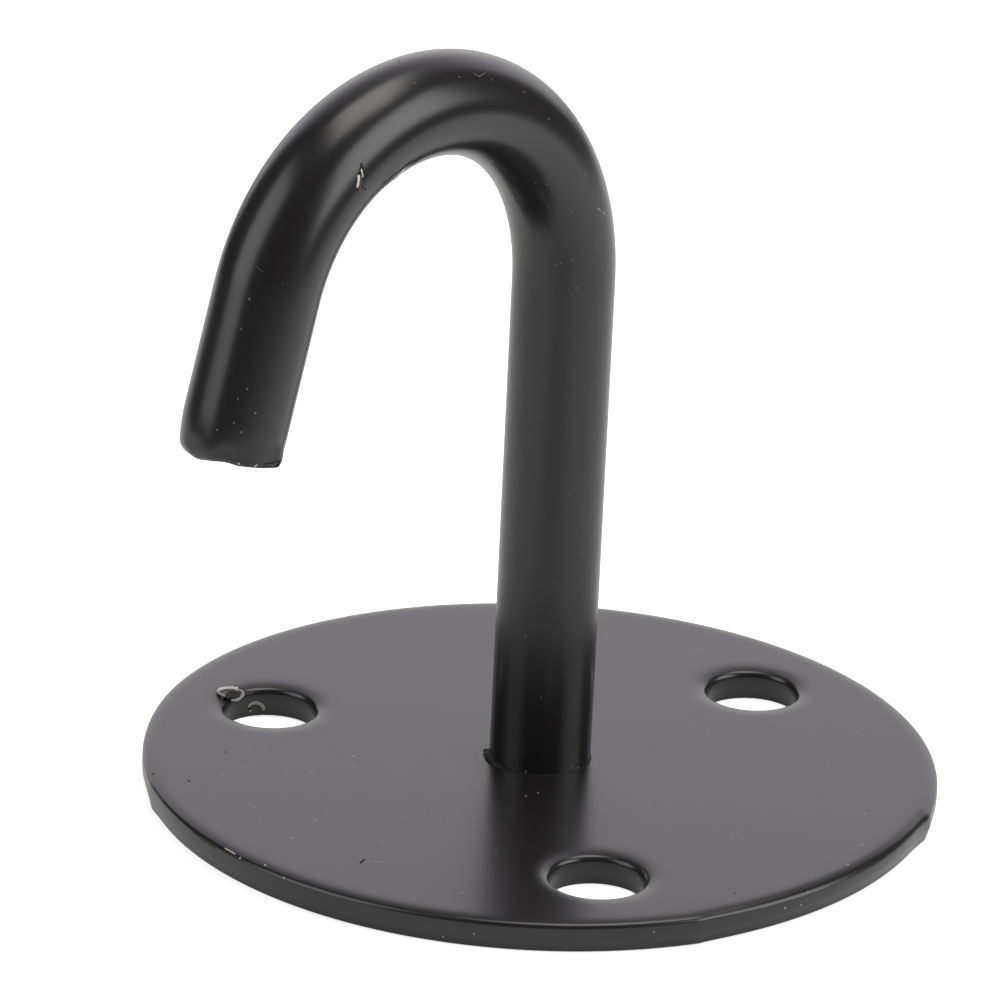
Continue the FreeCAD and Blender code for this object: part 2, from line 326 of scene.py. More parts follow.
bar = {"radius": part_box("hook_rod")[1].x, "gap": 0.1 * mm, "facets": 96}
plate = {
    "radius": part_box("base_plate")[1].x, "top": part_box("base_plate")[1].z,
    "facets": 360, "hold": 0.06 * mm, "oneFacet": 0.6,
    "cornerSteps": 8, "rollSteps": 14, "rollCrowding": 1.5, "wallSteps": 4,
    "rimDrop": 0.17 * mm, "rimReach": 2.45 * mm, "rimCorner": 0.5 * mm, "rimPower": 5,
    "landDepth": 1.7 * mm, "breakInset": 0.38 * mm, "backEdge": 0.25 * mm,
    "screwCircle": 28.95 * mm, "screwRadius": 4.7 * mm, "screwTurn": -7.1, "screwCount": 3,
    "screwDrop": 0.2 * mm, "screwReach": 2.9 * mm, "screwCorner": 0.6 * mm, "screwPower": 4,
    "screwBreak": 0.22 * mm, "screwTornFrom": 0.05 * mm, "screwTornTo": 1.2 * mm,
    "screwFacets": 120,
    "weldReach": 2.4 * mm, "weldDepth": 1.7 * mm,
    # where the disc's rim isn't round: a flat from the strip's edge, and two burrs below.
    # Only the rim itself gives way there, not the holes' edges.
    "rimZone": 2.9 * mm, "burrZone": 0.6 * mm,
    "flatFacing": -89, "flatDepth": 0.7 * mm, "flatReach": 17.5 * mm,
    "burrs": {"sharp": {"facing": 146.7, "push": 0.22 * mm, "reach": 3.5 * mm, "falloff": "SHARP"},
              "blunt": {"facing": -63.2, "push": 0.16 * mm, "reach": 3.5 * mm,
                        "falloff": "SMOOTH"}},
    "leftFacing": 128, "leftDepth": 0.18 * mm, "leftReach": 16 * mm,
    # the punch drew the front edge down deeper on one side
    "droopFacing": -79, "droopDepth": 0.34 * mm, "droopReach": 30 * mm,
    "droopZone": 0.9 * mm, "droopWide": 1.15 * mm,
}


def rolledRim(wall, outwards, drop, reach, corner, power):
    # (radius, height) places from an upright wall round the tight corner, then up the slow
    # roll-over to the flat top. outwards is 1 where the metal lies outside the wall, as
    # round a hole, and -1 at the disc's own rim.
    top = plate["top"]
    lean = math.atan(power * drop / reach)
    centre = (wall + outwards * corner, top - drop - corner * math.cos(lean))
    places = []
    for step in range(plate["cornerSteps"] + 1):
        angle = (math.pi / 2 - lean) * step / plate["cornerSteps"]
        places.append((centre[0] - outwards * corner * math.cos(angle),
                       centre[1] + corner * math.sin(angle)))
    start = places[-1][0]
    for step in range(1, plate["rollSteps"] + 1):
        share = (step / plate["rollSteps"]) ** plate["rollCrowding"]
        places.append((start + outwards * reach * share, top - drop * (1 - share) ** power))
    places.append((start + outwards * (reach + plate["hold"]), top))
    return places


def droopEdge(piece):
    # one ring after another from the inside out: each moves down with all that lie outside
    # it, so that the edge bends down more and more towards the rim
    top, inside = plate["top"], plate["radius"] - plate["droopWide"]
    selectPoints(piece, lambda place: place.z < top - plate["droopZone"]
                 or place.xy.length < inside)
    bpy.ops.mesh.hide(unselected=False)
    rings = sorted({round(corner.co.xy.length / mm, 3)
                    for corner in bmesh.from_edit_mesh(piece.data).verts if not corner.hide})
    before = 0.0
    for ring in rings:
        selectPoints(piece, lambda place: place.xy.length < ring * mm - sameGap)
        bpy.ops.mesh.hide(unselected=False)
        depth = plate["droopDepth"] * ((ring * mm - inside) / plate["droopWide"]) ** 2
        selectPoints(piece, lambda place: faces(place, plate["droopFacing"], plate["oneFacet"]))
        nudge(Vector((0, 0, before - depth)), plate["droopReach"])
        before = depth
    bpy.ops.mesh.reveal(select=False)


def makePlate():
    radius, top, hold, edge = plate["radius"], plate["top"], plate["hold"], plate["backEdge"]
    back = radius - plate["breakInset"]
    side = [(back - edge - hold, 0), (back - edge, 0)]
    side += roundCorner((back - edge, edge), edge, -90, 0, plate["wallSteps"])[1:]
    land = top - plate["landDepth"]
    for step in range(1, plate["wallSteps"] + 1):
        share = step / plate["wallSteps"]
        side.append((back + (radius - back) * share, edge + (land - edge) * share))
    side += rolledRim(radius, -1, *(plate["rim" + k] for k in ("Drop", "Reach", "Corner", "Power")))
    piece = startRing("disc_plate", (0, 0, 0), side[0][0], plate["facets"])
    turnProfile((0, 0), side)

    wall = plate["screwRadius"]
    torn = wall + plate["screwBreak"]
    hole = [(torn + hold, 0), (torn, 0), (torn, plate["screwTornFrom"]),
            (wall, plate["screwTornTo"])]
    hole += rolledRim(wall, 1, *(plate["screw" + k] for k in ("Drop", "Reach", "Corner", "Power")))
    for number in range(plate["screwCount"]):
        turn = math.radians(plate["screwTurn"] + 360 * number / plate["screwCount"])
        axis = (plate["screwCircle"] * math.cos(turn), plate["screwCircle"] * math.sin(turn))
        bpy.ops.mesh.select_all(action="DESELECT")
        bpy.ops.mesh.primitive_circle_add(vertices=plate["screwFacets"], radius=hole[0][0],
                                          location=(axis[0], axis[1], 0))
        turnProfile(axis, hole)

    bore = bar["radius"] + bar["gap"]
    groove = bore + plate["weldReach"]
    middle = [(groove + hold, 0), (groove, 0), (bore, plate["weldDepth"]), (bore, top),
              (bore + hold, top)]
    bpy.ops.mesh.select_all(action="DESELECT")
    bpy.ops.mesh.primitive_circle_add(vertices=plate["screwFacets"], radius=middle[0][0])
    turnProfile((0, 0), middle)

    for height in (0, top):
        selectEdges(piece, lambda edge, ends: edge.is_boundary and all(
            abs(end.z - height) < sameGap for end in ends))
        bpy.ops.mesh.fill(use_beauty=True)

    bpy.ops.mesh.select_mode(type="VERT")
    droopEdge(piece)
    selectPoints(piece, lambda place: place.xy.length < radius - plate["rimZone"])
    bpy.ops.mesh.hide(unselected=False)
    for side, falloff in (("flat", "SPHERE"), ("left", "SMOOTH")):
        facing = plate[side + "Facing"]
        selectPoints(piece, lambda place: faces(place, facing, plate["oneFacet"]))
        nudge(facingWay(facing) * -plate[side + "Depth"], plate[side + "Reach"], falloff)
    for burr in plate["burrs"].values():
        selectPoints(piece, lambda place: faces(place, burr["facing"], plate["oneFacet"])
                     and place.z < plate["burrZone"])
        nudge(facingWay(burr["facing"]) * burr["push"], burr["reach"], burr["falloff"])
    bpy.ops.mesh.reveal(select=False)
    finishPiece(piece, "base_plate", coat)
    return piece


discPlate = makePlate()


# Hook rod: one bar along the stem, the two bends and the leg, sheared off at the tip

rod = {
    "end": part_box("hook_rod")[0].z, "stemTop": 54.2 * mm, "stemSteps": 18,
    "bends": ((22.85 * mm, 110.7), (19.15 * mm, 52.3)), "bendStep": 2.5,
    "leg": 15.75 * mm, "legSteps": 6,
    "tipReach": 4.0 * mm, "tipDrawIn": 0.42 * mm, "tipCorner": 0.9 * mm, "tipCornerSteps": 8,
    "tipPivot": 4.0 * mm, "tipFacing": 49.0, "tipTilt": 4.8, "drawSteps": 8,
    "faceInsets": (0.15 * mm, 0.6 * mm), "dentPick": 0.25 * mm, "nearShare": 1.01,
}
# what is uneven at the tip and where the bend cracked: the photograph's pixel, how far it
# moves to the photograph's right, up and away in mm, and how far round it is felt
tipDents = {
    "corner": {"pixel": (194, 450), "right": 0.0, "up": -0.3, "away": 0.3, "reach": 1.8 * mm},
    "hollow": {"pixel": (224, 458), "right": 0, "up": 0.36, "away": 0, "reach": 1.6 * mm},
    "dent": {"pixel": (272, 461), "right": 0, "up": 0.16, "away": 0, "reach": 0.8 * mm},
    "burr": {"pixel": (277, 460), "right": 0.4, "up": 0.0, "away": 0, "reach": 1.8 * mm},
    "crack": {"pixel": (388, 181), "right": 0.14, "up": -0.14, "away": 0, "reach": 1.4 * mm},
    "crackMiddle": {"pixel": (398, 172.5), "right": 0.14, "up": -0.15, "away": 0,
                    "reach": 1.4 * mm},
}


def makeRod():
    piece = startRing("bent_rod", (0, 0, rod["end"]), bar["radius"], bar["facets"])
    bpy.ops.mesh.edge_face_add()
    step = (rod["stemTop"] - rod["end"]) / rod["stemSteps"]
    bpy.ops.mesh.select_all(action="DESELECT")
    selectEdges(piece, lambda edge, ends: True)
    for _ in range(rod["stemSteps"]):
        extendRing((0, 0, step))
    place, heading = Vector((0, 0, rod["stemTop"])), 0.0
    for radius, turn in rod["bends"]:
        centre = place - radius * Vector((math.cos(heading), 0, math.sin(heading)))
        bpy.ops.mesh.spin(steps=round(turn / rod["bendStep"]), angle=math.radians(turn),
                          center=centre, axis=(0, 1, 0))
        heading += math.radians(turn)
        place = centre + radius * Vector((math.cos(heading), 0, math.sin(heading)))
    along = Vector((-math.sin(heading), 0, math.cos(heading)))
    outside = Vector((math.cos(heading), 0, math.sin(heading)))
    facing = math.radians(rod["tipFacing"])
    rolled = outside * math.cos(facing) + Vector((0, 1, 0)) * math.sin(facing)
    tiltAxis = along.cross(rolled)

    plain = rod["leg"] - rod["tipReach"]
    for _ in range(rod["legSteps"]):
        extendRing(along * plain / rod["legSteps"])
        place = place + along * plain / rod["legSteps"]
    corner, width = rod["tipCorner"], bar["radius"] + rod["tipPivot"]
    stops = [rod["tipReach"] + (corner - rod["tipReach"]) * number / rod["drawSteps"]
             for number in range(1, rod["drawSteps"] + 1)]
    for number in range(1, rod["tipCornerSteps"] + 1):
        stops.append(corner * (1 - math.sin(math.radians(90 * number / rod["tipCornerSteps"]))))
    before, drawnBefore = rod["tipReach"], 0.0
    tilt = math.radians(rod["tipTilt"] / len(stops))
    for stop in stops:
        drawn = rod["tipDrawIn"] * ((rod["tipReach"] - stop) / rod["tipReach"]) ** 2
        if stop < corner:
            drawn += corner - math.sqrt(max(corner ** 2 - (corner - stop) ** 2, 0))
        place = place + along * (before - stop)
        scale = (width - drawn) / (width - drawnBefore)
        extendRing(along * (before - stop), scale, place - rolled * rod["tipPivot"])
        bpy.ops.transform.rotate(value=tilt, orient_matrix=axisMatrix(tiltAxis), orient_axis="Z",
                                 center_override=place - rolled * bar["radius"])
        before, drawnBefore = stop, drawn
    bpy.ops.mesh.edge_face_add()
    for inset in rod["faceInsets"]:
        bpy.ops.mesh.inset(thickness=inset)
    bpy.ops.object.mode_set(mode="OBJECT")
    dents = [(photoPlace(piece, *dent["pixel"])[0], dent) for dent in tipDents.values()]
    bpy.ops.object.mode_set(mode="EDIT")
    bpy.ops.mesh.select_mode(type="VERT")
    for where, dent in dents:
        gap = min((corner.co - where).length for corner in bmesh.from_edit_mesh(piece.data).verts)
        pick = max(rod["dentPick"], rod["nearShare"] * gap)
        selectPoints(piece, lambda place: (place - where).length < pick)
        nudge(pictureMove(dent["right"], dent["up"], dent["away"]), dent["reach"])
    finishPiece(piece, "hook_rod", coat)
    return piece


bentRod = makeRod()


# Welds: a thin uneven skirt round the bar's foot on the front, with lumps of coat and spatter
# that ran out on one side, and a beaded ring in the groove on the back, which the photograph
# doesn't show

footWeld = {
    "facets": 120, "inset": 0.25 * mm, "width": 0.05 * mm, "rise": 0.06 * mm,
    "unevenness": 0.02 * mm, "seed": 3, "voxel": 0.07 * mm, "rounds": 4,
    "smoothAngle": 60,
}
# a first lump of grit half sunk in the bar
gritLump = {"place": (-4.0 * mm, 3.0 * mm), "radius": 0.3 * mm}
# where each lump of coat faces, how far out and up its middle lies, and half its size round
# the bar, outwards and upwards, in mm
footLumps = {
    "spike": {"facing": 132, "out": 5.05, "up": 0.2, "half": (0.35, 0.72, 0.22)},
    "shoulder": {"facing": 147, "out": 4.95, "up": 0.12, "half": (1.6, 0.72, 0.45)},
    "run": {"facing": 166, "out": 5.0, "up": 0.0, "half": (1.5, 0.7, 0.26)},
    "tail": {"facing": 190, "out": 4.95, "up": 0.0, "half": (1.6, 0.34, 0.14)},
    "grain": {"facing": -50, "out": 4.85, "up": 0.0, "half": (0.9, 0.36, 0.24)},
}


def meltTogether(piece, voxel, rounds):
    # closed shapes that overlap become one skin, smoothed in some rounds
    bpy.context.view_layer.objects.active = piece
    melt = piece.modifiers.new("melt", "REMESH")
    melt.mode = "VOXEL"
    melt.voxel_size = voxel
    bpy.ops.object.modifier_apply(modifier="melt")
    flow = piece.modifiers.new("flow", "SMOOTH")
    flow.factor = 0.5
    flow.iterations = rounds
    bpy.ops.object.modifier_apply(modifier="flow")


def makeFootWeld():
    top, inner = plate["top"], bar["radius"] - footWeld["inset"]
    outer, crest = bar["radius"] + footWeld["width"], top + footWeld["rise"]
    piece = startRing("foot_weld", (0, 0, top), inner, footWeld["facets"])
    turnProfile((0, 0), [(inner, top), (outer, top), (bar["radius"], crest), (inner, crest)])
    selectEdges(piece, lambda edge, ends: edge.is_boundary)
    bpy.ops.mesh.bridge_edge_loops()
    bpy.ops.mesh.select_mode(type="VERT")
    selectPoints(piece, lambda place: place.xy.length > bar["radius"] + sameGap)
    bpy.ops.transform.vertex_random(offset=footWeld["unevenness"], seed=footWeld["seed"])
    bpy.ops.object.mode_set(mode="OBJECT")

    deselectAll()
    bpy.ops.mesh.primitive_ico_sphere_add(subdivisions=2, radius=gritLump["radius"],
                                          location=(*gritLump["place"], top))
    lumps = bpy.context.object
    bpy.ops.object.mode_set(mode="EDIT")
    for lump in footLumps.values():
        place = facingWay(lump["facing"]) * lump["out"] * mm
        place.z = top + lump["up"] * mm
        across, outwards, upwards = (2 * half for half in lump["half"])
        bpy.ops.mesh.select_all(action="DESELECT")
        bpy.ops.mesh.primitive_ico_sphere_add(subdivisions=4, radius=0.5 * mm, location=place)
        bpy.ops.transform.resize(value=(outwards, across, upwards), center_override=place)
        bpy.ops.transform.rotate(value=-math.radians(lump["facing"]), orient_axis="Z",
                                 center_override=place)
    bpy.ops.object.mode_set(mode="OBJECT")
    meltTogether(lumps, footWeld["voxel"], footWeld["rounds"])
    lumps.select_set(True)
    piece.select_set(True)
    bpy.context.view_layer.objects.active = piece
    bpy.ops.object.join()
    finishPiece(piece, "weld_collar", starvedCoat, footWeld["smoothAngle"])
    return piece


backWeld = {
    "inner": 4.7 * mm, "outer": 7.5 * mm, "low": 0.42 * mm, "high": 1.66 * mm,
    "beads": 34, "beadWide": 1.5 * mm, "beadLong": 0.75 * mm, "beadThick": 0.5 * mm,
    "beadCircle": 6.1 * mm, "beadHeight": 0.62 * mm, "beadTilt": 24,
    "sway": 0.12 * mm, "fineSway": 0.06 * mm, "heave": 0.04 * mm,
    "facets": 96, "barReach": 0.25 * mm, "cornerWide": 0.15 * mm, "cornerHigh": 0.1 * mm,
    "voxel": 0.11 * mm, "rounds": 3, "smoothAngle": 80,
}


def makeBackWeld():
    # a ring that fills the groove, with overlapping beads laid round it and melted together
    inner, outer, low, high = (backWeld[k] for k in ("inner", "outer", "low", "high"))
    piece = startRing("beaded_back_weld", (0, 0, high), inner, backWeld["facets"])
    ring = [(inner, high), (bar["radius"] + backWeld["barReach"], high),
            (outer, low + backWeld["cornerHigh"]), (outer - backWeld["cornerWide"], low),
            (inner, low)]
    turnProfile((0, 0), ring)
    selectEdges(piece, lambda edge, ends: edge.is_boundary)
    bpy.ops.mesh.bridge_edge_loops()
    for number in range(backWeld["beads"]):
        share = number / backWeld["beads"]
        turn = 2 * math.pi * share
        sway = backWeld["sway"] * math.sin(5 * turn) + backWeld["fineSway"] * math.sin(13 * turn + 1)
        circle = backWeld["beadCircle"] + sway
        place = Vector((circle * math.cos(turn), circle * math.sin(turn),
                        backWeld["beadHeight"] + backWeld["heave"] * math.sin(7 * turn)))
        bpy.ops.mesh.select_all(action="DESELECT")
        bpy.ops.mesh.primitive_ico_sphere_add(subdivisions=3, radius=1 * mm, location=place)
        size = (backWeld["beadWide"] / mm, backWeld["beadLong"] / mm, backWeld["beadThick"] / mm)
        bpy.ops.transform.resize(value=size, center_override=place)
        bpy.ops.transform.rotate(value=math.radians(backWeld["beadTilt"]), orient_axis="X",
                                 center_override=place)
        bpy.ops.transform.rotate(value=-turn, orient_axis="Z", center_override=place)
    bpy.ops.object.mode_set(mode="OBJECT")
    meltTogether(piece, backWeld["voxel"], backWeld["rounds"])
    finishPiece(piece, "back_weld", coat, backWeld["smoothAngle"])
    return piece


makeFootWeld()
makeBackWeld()


# Marks of making and handling, each where the photograph shows it. A pixel is (across, down).

# how a mark is strewn: its size varies, a share of its thickness is sunk, and a line's
# lenses lie some pixels apart and overlap
strewing = {"swell": (0.7, 1.2), "sunk": 0.2, "pixels": 3.5, "overlap": 1.5, "smoothAngle": 60}


def startMarks(name):
    # a new piece with nothing in it yet, left in edit mode
    deselectAll()
    bpy.ops.mesh.primitive_plane_add(size=mm)
    piece = bpy.context.object
    piece.name = name
    bpy.ops.object.mode_set(mode="EDIT")
    bpy.ops.mesh.select_all(action="SELECT")
    bpy.ops.mesh.delete(type="VERT")
    return piece


def addFleck(place, normal, along, size):
    # a small lens lying on a surface; size is its length, width and thickness
    side = normal.cross(along).normalized()
    turn = Matrix((side.cross(normal), side, normal)).transposed().to_euler()
    bpy.ops.mesh.primitive_ico_sphere_add(subdivisions=2, radius=1, location=place, rotation=turn,
                                          scale=[length / 2 for length in size])


def addStrand(carrier, pixels, wide, thick, lift=0.0):
    # overlapping lenses along a line from pixel to pixel
    for (x0, y0), (x1, y1) in zip(pixels, pixels[1:]):
        steps = max(1, round(math.hypot(x1 - x0, y1 - y0) / strewing["pixels"]))
        spots = [photoPlace(carrier, x0 + (x1 - x0) * step / steps, y0 + (y1 - y0) * step / steps)
                 for step in range(steps + 1)]
        for (start, normal), (end, _) in zip(spots, spots[1:]):
            along = end - start
            addFleck((start + end) / 2 + normal * lift, normal, along,
                     (along.length * strewing["overlap"], wide, thick))


carriers = {"disc_plate": discPlate, "bent_rod": bentRod}

# Each kind of mark: spots at single pixels, boxes (left, top, right, bottom) strewn with a
# number of fine ones, and lines. A spot's size is its length, width and thickness; a line has
# its width and lift, all in mm.
marks = {
    "pale_dust_nibs": {
        "material": paleDust, "seed": 4, "spot": (0.27, 0.2, 0.12), "fine": (0.13, 0.1, 0.06),
        "thick": 0.03,
        "disc_plate": {
            "spots": ((210, 783), (222, 774), (254, 807), (217, 825), (292.6, 838), (296, 829),
                      (353, 756), (357, 754.5), (287, 774), (311, 773), (315, 820), (462, 893),
                      (381.6, 842), (249, 747), (250.8, 729), (654, 932), (443, 937),
                      (474, 934), (808, 892), (801, 905), (785, 908), (451, 885), (641, 889),
                      (638.5, 878.5), (525.7, 795.8), (538, 793), (482, 775), (865, 814),
                      (862, 845), (848, 865)),
            "boxes": (((200, 740, 480, 830), 30), ((640, 720, 880, 840), 24),
                      ((330, 630, 470, 700), 10), ((630, 640, 700, 665), 8)),
            "lines": ({"wide": 0.06, "lift": 0, "path": ((362, 861), (371, 861.5), (383, 862))},)},
    },
    "coated_grit_and_painted_highlight": {
        "material": gritAndHighlight, "seed": 8, "spot": (0.21, 0.17, 0.1), "fine": (0.1, 0.08, 0.05),
        "thick": 0.03,
        "bent_rod": {
            "spots": ((459.3, 76.8), (571.9, 212), (586.5, 226.6), (590.6, 236.9), (595.3, 246.8),
                      (600.9, 260.6), (571.9, 260.6), (560.8, 263), (555, 264.7), (564.9, 278.3),
                      (576.5, 288), (571.9, 294.9), (546.7, 184.3), (535.6, 182.6), (545, 229),
                      (585.6, 175.2), (505.2, 168.5), (491.9, 160.6), (523.9, 92.2),
                      (549.2, 118.8), (410.7, 154.4), (492, 79.8), (415.2, 82.8), (338, 137),
                      # the first three: specks of painted highlight round the bar's foot
                      (526, 771.8), (578, 767.5), (572, 766.3), (526, 636), (541, 697),
                      (569, 493), (583, 522), (240.7, 328.7),
                      (225.9, 361), (247.2, 388.8), (237.8, 399), (255.3, 413.3),
                      (233.8, 422.9), (217, 429.9), (241.2, 432.4), (249.5, 299)),
            "boxes": (((520, 180, 596, 420), 14), ((505, 430, 590, 640), 14),
                      ((400, 60, 500, 100), 4), ((225, 250, 290, 440), 8)),
            "lines": (
                {"wide": 0.08, "lift": 0, "path": ((392, 63), (396.5, 58), (401, 63))},
                {"wide": 0.08, "lift": 0, "path": ((473.7, 73), (479, 76.5), (485.3, 73))},
                {"wide": 0.04, "lift": 0, "path": ((257.5, 267), (260, 270), (263, 271))},
                {"wide": 0.12, "lift": 0.03, "path": ((413, 164.4), (419.6, 160.5))})},
    },
    # broken coat and painted shade: dark matt flecks in pits, cracks, round chips and in the tip's
    # dent
    "broken_coat_and_painted_shade": {
        "material": brokenCoatAndShade, "seed": 5, "spot": (0.36, 0.26, 0.05), "fine": (0.1, 0.08, 0.03),
        "thick": 0.05,
        "disc_plate": {
            "spots": ((225.6, 752), (153, 774), (189, 781), (735, 893), (183, 822)),
            "boxes": (),
            "lines": ({"wide": 0.3, "lift": 0, "path": ((360.5, 863), (364.5, 859.5))},
                      {"wide": 0.75, "lift": -0.02, "path": ((249, 708), (262, 708.5))},
                      {"wide": 0.12, "lift": 0, "path": ((192, 831), (204, 841), (216, 849))})},
        "bent_rod": {
            "spots": ((365, 189),),
            "boxes": (),
            "lines": (
                {"wide": 0.3, "lift": 0.0, "path": ((361.4, 163.5), (361.6, 168))},
                {"wide": 0.6, "lift": 0.0, "path": ((361.6, 167), (361.6, 173))},
                {"wide": 0.95, "lift": 0.0, "path": ((361.0, 172), (359.6, 189.5))},
                {"wide": 0.07, "lift": 0.02,
                 "path": ((383, 184.2), (395, 174), (403, 168), (410, 163.2), (424, 156.8))},
                {"wide": 0.06, "lift": 0.02, "path": ((391.5, 182), (399.5, 174.6))},
                {"wide": 0.2, "lift": 0.0, "path": ((264, 464), (272, 463), (279, 461))})},
    },
    "brown_rust": {
        "material": brownRust, "seed": 6, "spot": (0.3, 0.2, 0.05), "fine": (0.1, 0.08, 0.03),
        "thick": 0.05,
        "disc_plate": {
            "spots": (), "boxes": (),
            "lines": ({"wide": 0.6, "lift": 0.02, "path": ((251, 708.3), (260, 708.6))},)},
        "bent_rod": {
            "spots": (), "boxes": (),
            "lines": ({"wide": 0.3, "lift": 0.03, "path": ((361.2, 176), (361, 185))},
                      {"wide": 0.5, "lift": 0.03, "path": ((359.6, 186), (359.2, 191))})},
    },
    "chipped_steel": {
        "material": steelAndFlakeHighlight, "seed": 7, "spot": (0.32, 0.2, 0.08), "fine": (0.1, 0.08, 0.03),
        "thick": 0.05,
        "disc_plate": {
            "spots": ((240, 858), (265, 865), (284, 878), (250.5, 710.9)),
            "boxes": (),
            "lines": (
                {"wide": 0.12, "lift": 0.01, "path": ((225, 848.2), (230, 851), (235, 854))},)},
        "bent_rod": {
            "spots": ((238.7, 463.6), (255.9, 465.7)),
            "boxes": (),
            "lines": (
                {"wide": 0.2, "lift": 0.06, "path": ((361.1, 169.5), (362.5, 176.5))},
                {"wide": 0.34, "lift": 0.06, "path": ((358.4, 175.6), (358.2, 182), (356.8, 186.6))},
                {"wide": 0.2, "lift": 0.02, "thick": 0.16, "path": ((386.4, 185.1), (391, 180.9))},
                {"wide": 0.2, "lift": 0.02, "thick": 0.16, "path": ((395.2, 177), (403.6, 169))},
                {"wide": 0.07, "lift": 0.0, "path": ((597.5, 208), (600.2, 210.5))},
                {"wide": 0.07, "lift": 0.0, "path": ((603, 212), (604.4, 214.5))})},
    },
    "dulled_steel_and_flake_highlight": {
        "material": dullSteelAndFlakeHighlight, "seed": 9, "spot": (0.2, 0.16, 0.08), "fine": (0.1, 0.08, 0.03),
        "thick": 0.05,
        "disc_plate": {
            "spots": (), "boxes": (),
            "lines": ({"wide": 0.38, "lift": 0.03,
                       "path": ((248.5, 706.4), (251.1, 703.5), (255.6, 702.2), (260.8, 704),
                                (263.4, 707), (263.7, 709.4))},)},
    },
}


def makeMarks(name, look):
    piece = startMarks(name)
    random.seed(look["seed"])
    for carrierName, carrier in carriers.items():
        if carrierName not in look:
            continue
        places = look[carrierName]
        spots = [(pixel, look["spot"]) for pixel in places["spots"]]
        for (left, top, right, bottom), count in places["boxes"]:
            spots += [((random.uniform(left, right), random.uniform(top, bottom)), look["fine"])
                      for _ in range(count)]
        for pixel, size in spots:
            place, normal = photoPlace(carrier, *pixel)
            swell = random.uniform(*strewing["swell"]) * mm
            along = Vector([random.uniform(-1, 1) for _ in range(3)])
            sunk = place - normal * size[2] * strewing["sunk"] * mm
            addFleck(sunk, normal, along, [length * swell for length in size])
        for line in places["lines"]:
            thick = line.get("thick", look["thick"])
            addStrand(carrier, line["path"], line["wide"] * mm, thick * mm, line["lift"] * mm)
    finishPiece(piece, None, look["material"], strewing["smoothAngle"])


# a curled flake of coat at the left hole, loose along one side: its rim in pixels, with the
# height over the disc's front in mm, and the thick bright part of it first. Its rims are drawn
# in steel colours as a painted highlight where the curl catches the light.
flake = {
    "thickRim": ((217.3, 691.6, 0.1), (221, 689.9, 0.3), (225, 688.8, 0.4), (231, 688.4, 0.45),
                 (237.5, 689.6, 0.4)),
    "thinRim": ((237.5, 689.6, 0.4), (242, 691.4, 0.3), (243.8, 694.7, 0.2), (240.5, 698.2, 0.1),
                (236.2, 700.4, 0.05), (231.6, 700.4, 0.05)),
    "innerRim": ((217.3, 691.6, 0.1), (220.6, 694.4, 0.15), (224.5, 695.8, 0.2)),
    "hollow": ((227, 694, 0.0), (233, 695.2, 0.0), (239.5, 695, 0.0)),
    "thick": 0.52, "thin": 0.27, "hollowWide": 1.9, "hollowThick": 0.1,
    "uneven": 0.16, "seed": 12, "steps": 3, "overlap": 1.9,
}


def addFlakeRim(rim, wide, thick):
    places = [photoLevel(across, down, plate["top"] + up * mm) for across, down, up in rim]
    for start, end in zip(places, places[1:]):
        part = (end - start) / flake["steps"]
        for step in range(flake["steps"]):
            swell = random.uniform(1 - flake["uneven"], 1 + flake["uneven"]) * mm
            addFleck(start + part * (step + 0.5), Vector((0, 0, 1)), part,
                     (part.length * flake["overlap"], wide * swell, thick * swell))


def makeFlake():
    random.seed(flake["seed"])
    piece = startMarks("curled_flake_hollow")
    addFlakeRim(flake["hollow"], flake["hollowWide"], flake["hollowThick"])
    finishPiece(piece, None, flakeInside, strewing["smoothAngle"])
    # the flake's thick rim: bright steel colour as a painted highlight where the curl catches the
    # light
    piece = startMarks("curled_flake_rim_painted_highlight")
    addFlakeRim(flake["thickRim"], flake["thick"], flake["thick"])
    finishPiece(piece, None, steelAndFlakeHighlight, strewing["smoothAngle"])
    # the flake's thinner rims: dull steel colour as a dimmer painted highlight
    piece = startMarks("curled_flake_far_rim_painted_highlight")
    addFlakeRim(flake["thinRim"], flake["thin"], flake["thin"])
    addFlakeRim(flake["innerRim"], flake["thin"], flake["thin"])
    finishPiece(piece, None, dullSteelAndFlakeHighlight, strewing["smoothAngle"])


for kind, look in marks.items():
    makeMarks(kind, look)
makeFlake()


# Floor and backdrop, not part of the object

studio = {
    "boardDrop": 0.05 * mm, "boardLeft": 0.34, "boardRight": 0.255, "boardFront": 1.2,
    "boardColour": "#e6e6e6",
    "seenGlow": 0.7, "leftGlow": 0.31, "rightGlow": 0.6,
    "frontShade": 0.5, "shadeStart": 0.02, "shadeEnd": 0.09, "shadePlace": 0.12,
    "wallRadius": 1.7, "wallHalf": 42, "wallTop": 58, "wallGlow": 1.0, "wallColour": "#d8d8d8",
    "wallMirrored": 1.19, "wallTopGlow": 0.4, "roomGlow": 0.08, "wallTint": "#f6f1ff",
    "footStart": 0.12, "footEnd": 0.21, "footGlow": 0.84, "fadeStart": 0.25, "fadeEnd": 0.55,
    "wallSteps": 24,
}


def studioDirection(azimuth, elevation):
    # azimuth from the camera's side, positive to the photograph's right
    toward = math.radians(view["azimuth"] + azimuth)
    rise = math.radians(elevation)
    return Vector((math.sin(toward) * math.cos(rise), -math.cos(toward) * math.cos(rise),
                   math.sin(rise)))


